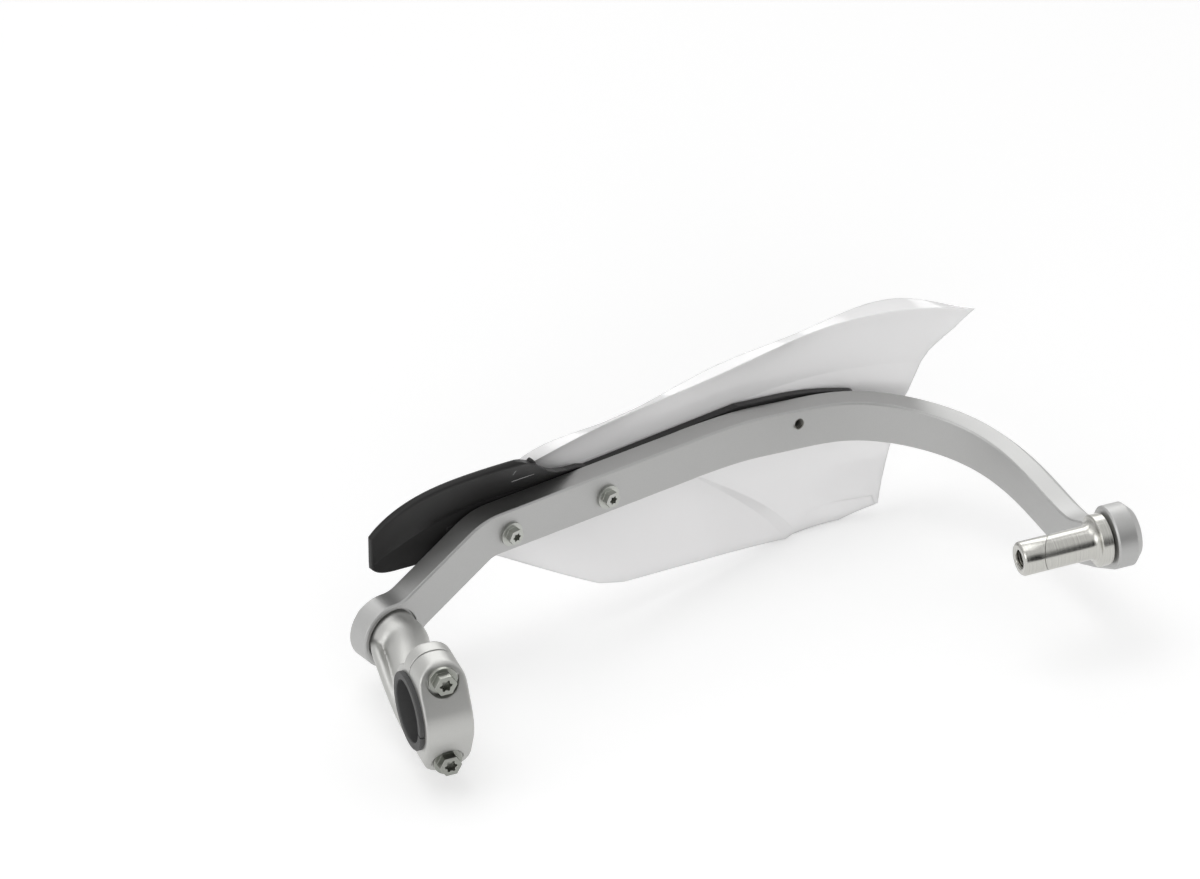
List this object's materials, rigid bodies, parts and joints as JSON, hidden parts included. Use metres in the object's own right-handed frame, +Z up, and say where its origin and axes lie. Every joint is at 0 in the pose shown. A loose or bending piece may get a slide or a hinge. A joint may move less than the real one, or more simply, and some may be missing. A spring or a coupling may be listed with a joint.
{
  "type": "motorcycle hand guard",
  "caption": "Right-hand motorcycle hand guard: bent flat bar with swivelling handlebar clamp, expanding bar-end plug, flared plastic shield and dark spoiler wing.",
  "frame": {"origin": "centre of the handlebar clamp's bore", "axes": "+X along the handlebar, outboard to the rider's right, +Y forward, +Z up"},
  "size_m": [0.3514, 0.1919, 0.1188],
  "materials": {
    "bar_aluminium": "satin bead-blasted",
    "clamp_aluminium": "satin bead-blasted",
    "shield_plastic": "semi-gloss white",
    "spoiler_plastic": "satin black",
    "zinc_steel": "zinc plated",
    "sleeve_plastic": "matt dark grey",
    "turned_steel": "bright turned"
  },
  "bodies": {
    "clamp": {"clamp_arm": "clamp_aluminium", "clamp_cap": "clamp_aluminium", "clamp_screw_upper": "zinc_steel", "clamp_screw_lower": "zinc_steel", "clamp_sleeve": "sleeve_plastic", "pivot_bolt": "zinc_steel", "pivot_washer": "zinc_steel"},
    "guard": {"guard_bar": "bar_aluminium", "shield": "shield_plastic", "spoiler": "spoiler_plastic", "shield_screw_inner": "zinc_steel", "shield_screw_outer": "zinc_steel", "threaded_insert_inner": "zinc_steel", "threaded_insert_outer": "zinc_steel", "bar_end_screw": "zinc_steel", "expander_sleeve": "turned_steel", "expander_wedge": "turned_steel"}
  },
  "joints": [
    {"name": "clamp_swivel", "type": "hinge", "parent": "clamp", "child": "guard", "pos_m": [0.00452, 0.07209, -0.0116], "axis": [0.3079, -0.9514, 0], "range_deg": [-30, 30]}
  ]
}
